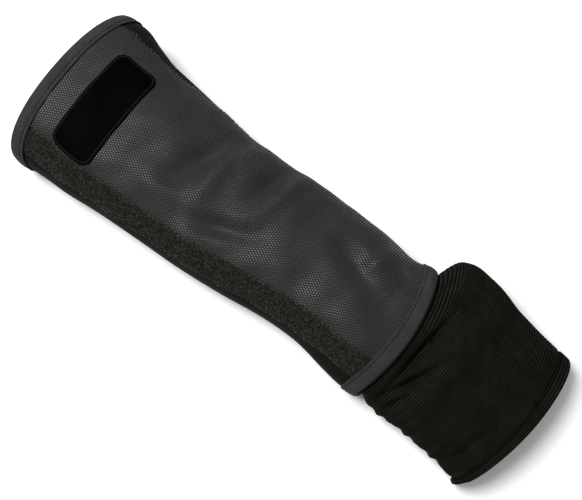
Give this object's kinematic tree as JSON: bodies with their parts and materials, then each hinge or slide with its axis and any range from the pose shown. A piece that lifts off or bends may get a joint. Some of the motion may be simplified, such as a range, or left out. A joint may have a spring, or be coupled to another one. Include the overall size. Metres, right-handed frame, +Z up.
{
  "type": "cut resistant sleeve",
  "caption": "Forearm guard sleeve of dotted guard cloth, bound with tape at both ends, with a ribbed knit cuff, lying on its back.",
  "frame": {"origin": "on the flat underside of the back panel, under the sleeve, where it rests", "axes": "+X along the sleeve from the open, bound end to the knit hem, +Y toward its far side, away from the side band, +Z up"},
  "size_m": [0.4544, 0.1692, 0.0738],
  "materials": {
    "guard_cloth": "black woven cloth with a close lattice of small raised grey resin dots",
    "loop_band": "rough looped black cloth",
    "back_cloth": "smooth plain black cloth",
    "binding_tape": "dark grey woven tape, folded over the edge and stitched",
    "rib_knit": "matt black knit with fine ribs round the cuff",
    "label": "plain black moulded patch with a fine raised rim"
  },
  "bodies": {
    "root": {"front_panel": "guard_cloth", "side_band": "loop_band", "back_panel": "back_cloth", "open_end_binding": "binding_tape", "junction_binding": "binding_tape", "knit_cuff": "rib_knit", "label_patch": "label"}
  },
  "joints": []
}
